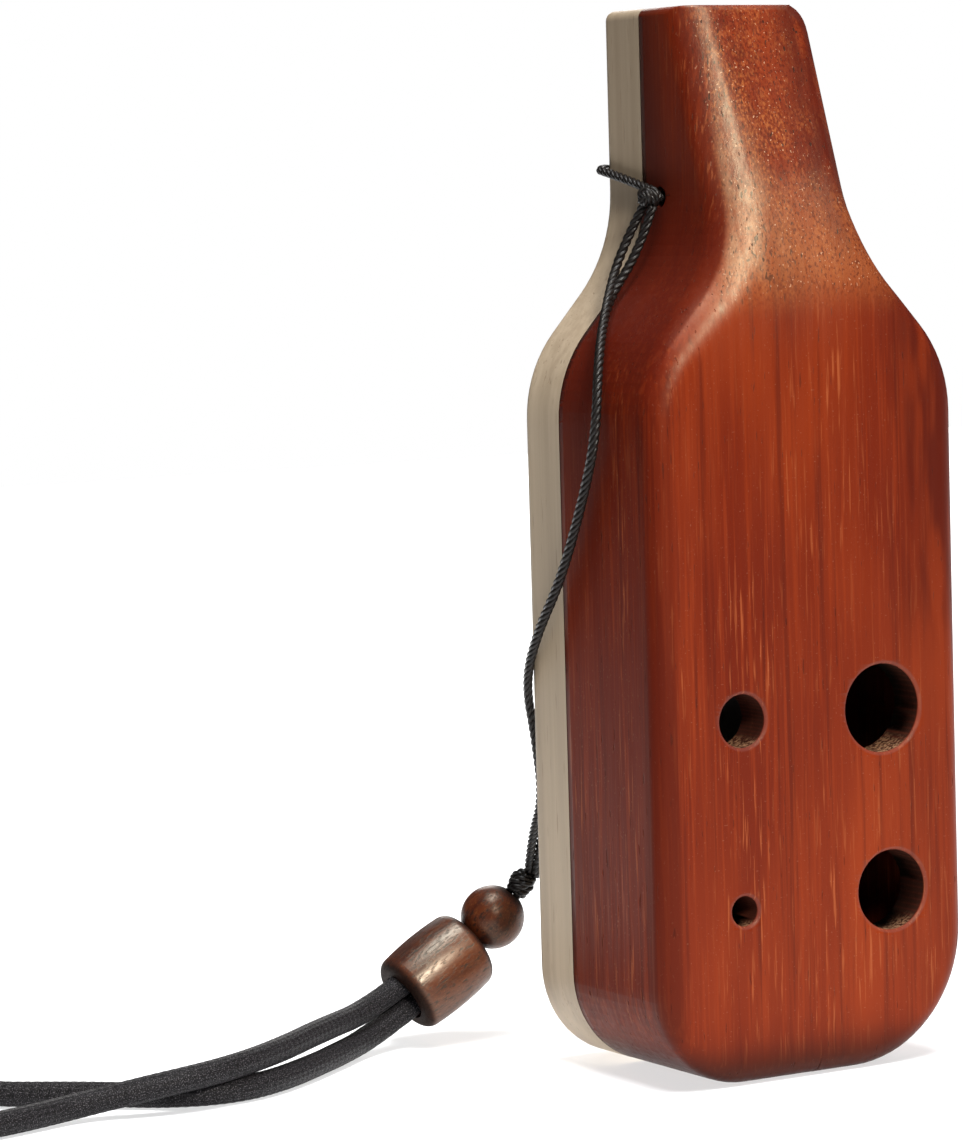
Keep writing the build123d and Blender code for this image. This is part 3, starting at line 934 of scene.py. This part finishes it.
def section_outline(node, depth):
    """The outer outline of a node cut at one depth, as (x, z) pairs in order."""
    bm = merged(node.data)
    every = bm.verts[:] + bm.edges[:] + bm.faces[:]
    cut = bmesh.ops.bisect_plane(bm, geom=every, plane_co=(0, depth, 0), plane_no=(0, 1, 0))
    edges = [item for item in cut["geom_cut"] if isinstance(item, bmesh.types.BMEdge)]
    beside = {}
    for edge in edges:
        first, second = edge.verts
        beside.setdefault(first, []).append(second)
        beside.setdefault(second, []).append(first)
    lowest = min(beside, key=lambda vertex: vertex.co.z)
    loop = [lowest]
    before, here = None, lowest
    while True:
        onward = [vertex for vertex in beside[here] if vertex is not before]
        before, here = here, onward[0]
        if here is lowest:
            break
        loop.append(here)
    outline = [(vertex.co.x, vertex.co.z) for vertex in loop]
    bm.free()
    return outline


def mouth_corner(x, top):
    """The mouth end's right corner rounded off as (x, z) points, then straight up past the top."""
    points = []
    for degrees in range(0, 76, 15):
        turn = math.radians(degrees)
        across = CORNER_WIDTH * (1 - math.cos(turn))
        points.append((x - across, top - CORNER_HEIGHT * (1 - math.sin(turn))))
    edge = x - CORNER_REACH
    return points + [(edge, top + 0.0001), (edge, top + OVERSHOOT)]


def half_outline(outline, sign):
    """From the middle of the foot up one side and on past the mouth end: (share of the way, x, z)."""
    top = max(z for _, z in outline)
    side = [(x * sign, z) for x, z in outline if x * sign > 1e-6 and z < top - RIM]
    middle = sum(z for _, z in side) / len(side)
    ordered = sorted(side, key=lambda p: math.atan2(p[1] - middle, p[0]))
    last = ordered[-1][0]
    end = mouth_corner(last, top) if sign > 0 else [(last, top + OVERSHOOT)]
    points = [(0.0, 0.0)] + ordered + end
    lengths = [0.0]
    for (x0, z0), (x1, z1) in zip(points, points[1:]):
        lengths.append(lengths[-1] + math.hypot(x1 - x0, z1 - z0))
    return [(length / lengths[-1], sign * x, z) for length, (x, z) in zip(lengths, points)]


def filled_shares(*halves):
    """Every share that either side has a corner at, with no gap over OUTLINE_GAP."""
    known = sorted({round(share, 6) for half in halves for share, _, _ in half})
    shares = []
    for low, high in zip(known, known[1:]):
        parts = max(1, math.ceil((high - low) / OUTLINE_GAP))
        shares += [lerp(low, high, part / parts) for part in range(parts)]
    return shares + [1.0]


def place_at(half, share):
    """The place a share of the way along one side of the outline."""
    across = [(known, x) for known, x, _ in half]
    upward = [(known, z) for known, _, z in half]
    return Vector((between(across, share), 0, between(upward, share)))


def front_profile(node):
    """How far forward the face is at each height, softened over a few millimetres."""
    tree = BVHTree.FromPolygons(
        [vertex.co for vertex in node.data.vertices],
        [polygon.vertices for polygon in node.data.polygons],
    )
    heights = [PROFILE_START + PROFILE_STEP * step for step in range(PROFILE_COUNT)]
    faces = [(z, tree.ray_cast(Vector((0.0002, -1, z)), Vector((0, 1, 0)))[0].y) for z in heights]
    last = len(faces) - 1
    (z0, y0), (z1, y1) = faces[last - 4], faces[last]
    beyond = [(z1 + PROFILE_BEYOND, y1 + (y1 - y0) / (z1 - z0) * PROFILE_BEYOND)]
    raw = faces + beyond
    soft = []
    for z in heights:
        nearby = [between(raw, z + offset * MM) for offset in range(-5, 6)]
        soft.append((z, sum(nearby) / len(nearby)))
    return soft + beyond


def smoothed_normals(points):
    """Inward normals in the XZ plane, averaged with their neighbours so that insets don't cross."""
    normals = []
    for index in range(len(points)):
        before = points[max(index - 1, 0)]
        after = points[min(index + 1, len(points) - 1)]
        along = (after - before).normalized()
        normals.append(Vector((-along.z, 0, along.x)))
    soft = []
    for index, here in enumerate(points):
        total = Vector((0, 0, 0))
        first = max(index - SOFT_NEIGHBOURS, 0)
        for other in range(first, min(index + SOFT_NEIGHBOURS + 1, len(points))):
            distance = (points[other] - here).length
            total += normals[other] * math.exp(-(distance / SOFT_REACH) ** 2)
        soft.append(total.normalized())
    return soft


def inward_points(half, sign, shares):
    """Each point of one side of the outline with its inward direction."""
    points = [place_at(half, share) for share in shares]
    normals = smoothed_normals(points)
    return [(point, normal * sign) for point, normal in zip(points, normals)]


def half_row(point, inward, edge, profile, seam, spine, back_x=None):
    """Points from behind the seam, round the front edge and across the face, short of its middle."""
    base = point + inward * SKIN_INSET
    if back_x is None:
        back_x = base.x
    row = [Vector((back_x, seam + reach, base.z)) for reach in (SEAM_OVERLAP, -SEAM_OVERLAP)]
    arc_start = between(profile, base.z) + edge
    row.append(Vector((lerp(back_x, base.x, 0.5), lerp(seam, arc_start, 0.5), base.z)))
    for step in range(ARC_STEPS + 1):
        angle = math.pi / 2 * step / ARC_STEPS
        place = base + inward * edge * (1 - math.cos(angle))
        y = between(profile, place.z) + edge * (1 - math.sin(angle)) + SKIN_INSET
        row.append(Vector((place.x, y, place.z)))
    inner = base + inward * edge
    for step in range(1, FACE_STEPS):
        place = inner.lerp(spine, step / FACE_STEPS)
        row.append(Vector((place.x, between(profile, place.z) + SKIN_INSET, place.z)))
    return row


def carved_skin(node):
    """Rows of points across the front body with hand-rounded edges, from the foot to the mouth end."""
    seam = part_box("front_body")[1].y
    outline = section_outline(node, seam - SECTION_GAP)
    right, left = half_outline(outline, 1), half_outline(outline, -1)
    shares = filled_shares(right, left)
    profile = front_profile(node)
    corner_start = max(z for _, z in outline) - CORNER_HEIGHT
    square = right[-1][1] + CORNER_REACH - SKIN_INSET
    rows = []
    sides = zip(inward_points(left, -1, shares), inward_points(right, 1, shares))
    for (left_point, left_in), (right_point, right_in) in sides:
        middle_z = (left_point.z + right_point.z) / 2
        spine_z = lerp(max(middle_z, SPINE_FOOT), middle_z, SPINE_FOLLOWS)
        spine = Vector((0, 0, spine_z))
        left_edge = between(LEFT_ROUNDING, left_point.z)
        right_edge = between(RIGHT_ROUNDING, right_point.z)
        back_x = square if right_point.z > corner_start else None
        left_row = half_row(left_point, left_in, left_edge, profile, seam, spine)
        right_row = half_row(right_point, right_in, right_edge, profile, seam, spine, back_x)
        middle = Vector((0, between(profile, spine_z) + SKIN_INSET, spine_z))
        rows.append(left_row + [middle] + right_row[::-1])
    return rows


def skin_mesh(rows):
    """The rows joined up, folded shut at the foot and the mouth end, and closed behind."""
    bm = bmesh.new()
    grid = [[bm.verts.new(place) for place in row] for row in rows]
    for lower, upper in zip(grid, grid[1:]):
        for a, b, c, d in zip(lower, lower[1:], upper[1:], upper):
            bm.faces.new((a, b, c, d))
        bm.faces.new((lower[-1], lower[0], upper[0], upper[-1]))
    bm.faces.new(grid[-1])
    bmesh.ops.remove_doubles(bm, verts=bm.verts, dist=2e-6)
    bmesh.ops.recalc_face_normals(bm, faces=bm.faces)
    mesh = bpy.data.meshes.new("carved_front")
    bm.to_mesh(mesh)
    bm.free()
    return mesh


def baked(piece):
    """The piece's mesh with its modifiers made permanent."""
    graph = bpy.context.evaluated_depsgraph_get()
    mesh = bpy.data.meshes.new_from_object(piece.evaluated_get(graph))
    piece.modifiers.clear()
    return mesh


def make_carved_front(material):
    """The CAD front body kept inside the carved skin, so that its holes and chamber stay."""
    node = frame["nodes"]["front_body"]
    skin = placed("carved_front", skin_mesh(carved_skin(node)))
    tool_mesh = node.data.copy()
    bm = merged(node.data)
    bm.to_mesh(tool_mesh)
    bm.free()
    tool = placed("tool", tool_mesh)
    boolean = skin.modifiers.new("keep", "BOOLEAN")
    boolean.operation = "INTERSECT"
    boolean.solver = "EXACT"
    boolean.object = tool
    skin.data = baked(skin)
    bpy.data.objects.remove(tool)
    skin.data.shade_smooth()
    skin.data.set_sharp_from_angle(angle=math.radians(SHARP_ANGLE))
    even = skin.modifiers.new("even", "WEIGHTED_NORMAL")
    even.keep_sharp = True
    skin.data = baked(skin)
    skin.data.materials.clear()
    skin.data.materials.append(material)
    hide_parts("front_body")
    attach(skin, BODY)
    return skin


# ---- light and floor


def area_light(name, direction, distance, size, watts, colour, target=(0, 0, 0.06)):
    data = bpy.data.lights.new(name, "AREA")
    data.shape = "DISK"
    data.size = size
    data.energy = watts
    data.color = colour
    light = placed(name, data)
    away = Vector(direction).normalized()
    light.location = Vector(target) + away * distance
    light.rotation_mode = "QUATERNION"
    light.rotation_quaternion = (-away).to_track_quat("-Z", "Y")
    return light


def make_floor():
    (left, front), (right, back) = FLOOR_CORNERS
    mesh = bpy.data.meshes.new("floor")
    corners = [(left, front, 0), (right, front, 0), (right, back, 0), (left, back, 0)]
    mesh.from_pydata(corners, [], [(0, 1, 2, 3)])
    floor = placed("floor", mesh)
    material = new_material("pale_floor", Roughness=0.9, Base_Color=(0.9, 0.9, 0.9, 1))[0]
    mesh.materials.append(material)
    return floor


def make_lights(floor):
    """A high soft light, a key that leaves the floor alone, a wash for the floor only, and a fill."""
    flagged = bpy.data.collections.new("kept_out_of_the_key")
    flagged.objects.link(floor)
    flagged.collection_objects[0].light_linking.link_state = "EXCLUDE"
    key = area_light(
        "key", direction=(-0.15, -0.82, 0.56), distance=1.2, size=0.28, watts=15.6,
        colour=(1.0, 0.96, 0.88),
    )
    key.light_linking.receiver_collection = flagged
    area_light(
        "top", direction=(-0.02, -0.14, 1), distance=2.2, size=1.2, watts=57,
        colour=(0.98, 0.99, 1.0), target=(0, 0.05, 0),
    )
    wash = area_light(
        "floor_wash", direction=(0, 0, 1), distance=2.6, size=1.6, watts=62,
        colour=(1, 1, 1), target=(0.35, 0.45, 0),
    )
    wash.data.use_shadow = False
    floor_only = bpy.data.collections.new("lit_by_the_wash")
    floor_only.objects.link(floor)
    wash.light_linking.receiver_collection = floor_only
    area_light(
        "behind", direction=(0.5, 0.9, 0.45), distance=1.6, size=0.8, watts=6,
        colour=(1.0, 0.98, 0.95),
    )


def make_world():
    """White behind the object as the camera sees it, and a dim even light on everything."""
    world = bpy.data.worlds.new("studio")
    bpy.context.scene.world = world
    world.use_nodes = True
    tree = world.node_tree
    tree.nodes.clear()
    seen = add(tree, "ShaderNodeBackground", Color=(1, 1, 1, 1), Strength=1.0)
    lit = add(tree, "ShaderNodeBackground", Color=(0.95, 0.97, 1, 1), Strength=0.06)
    path = add(tree, "ShaderNodeLightPath")
    mix = add(
        tree, "ShaderNodeMixShader",
        i0=path.outputs["Is Camera Ray"], i1=lit.outputs[0], i2=seen.outputs[0],
    )
    output = add(tree, "ShaderNodeOutputWorld")
    tree.links.new(mix.outputs[0], output.inputs["Surface"])
    bpy.context.scene.view_settings.view_transform = "Standard"


# ---- assembly


def assign(node_name, material):
    mesh = frame["nodes"][node_name].data
    mesh.materials.clear()
    mesh.materials.append(material)


def make_cords(thin, thick):
    """Every cord, knot and strand."""
    neck_cord, neck_line = make_neck_cord(thick)
    leg_a, line_a = make_leg("thin_leg_a", "cord_leg_a", LEG_A, thin)
    leg_b, line_b = make_leg("thin_leg_b", "cord_leg_b", LEG_B, thin)

    bead, barrel = JOINTS["round_bead_spin"], JOINTS["barrel_bead_spin"]
    low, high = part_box("bead_knot")
    bead_knot = make_knot(
        "knot_above_beads", "bead_knot", (low + high) / 2, bead["axis"], 0.0019, 0.0038, thin
    )
    low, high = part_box("neck_knot")
    neck_knot = make_knot(
        "knot_at_neck", "neck_knot", (low + high) / 2, (-1, 0, 0.2), 0.0015, 0.0030, thin
    )
    loop = make_neck_loop(thin)
    strands = make_bead_strands(thin)


def dress_beads():
    """Each bead in wood with the grain along its own axis."""
    bead, barrel = JOINTS["round_bead_spin"], JOINTS["barrel_bead_spin"]
    low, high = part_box("round_bead")
    round_wood = bead_wood(
        "round_bead_wood", (low + high) / 2, bead["axis"], BEAD_HALF, BEAD_SHINE
    )
    assign("round_bead", round_wood)
    low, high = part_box("barrel_bead")
    barrel_wood = bead_wood(
        "barrel_bead_wood", (low + high) / 2, barrel["axis"], BARREL_HALF, BARREL_SHINE
    )
    assign("barrel_bead", barrel_wood)


def main():
    make_camera()
    thin, thick = thin_cord_material(), thick_cord_material()
    make_cords(thin, thick)
    make_carved_front(red_wood())
    assign("back_plate", pale_wood())
    dress_beads()
    assign("cord_splice", thick)
    assign("coil_tie", tie_material())
    make_lights(make_floor())
    make_world()


main()
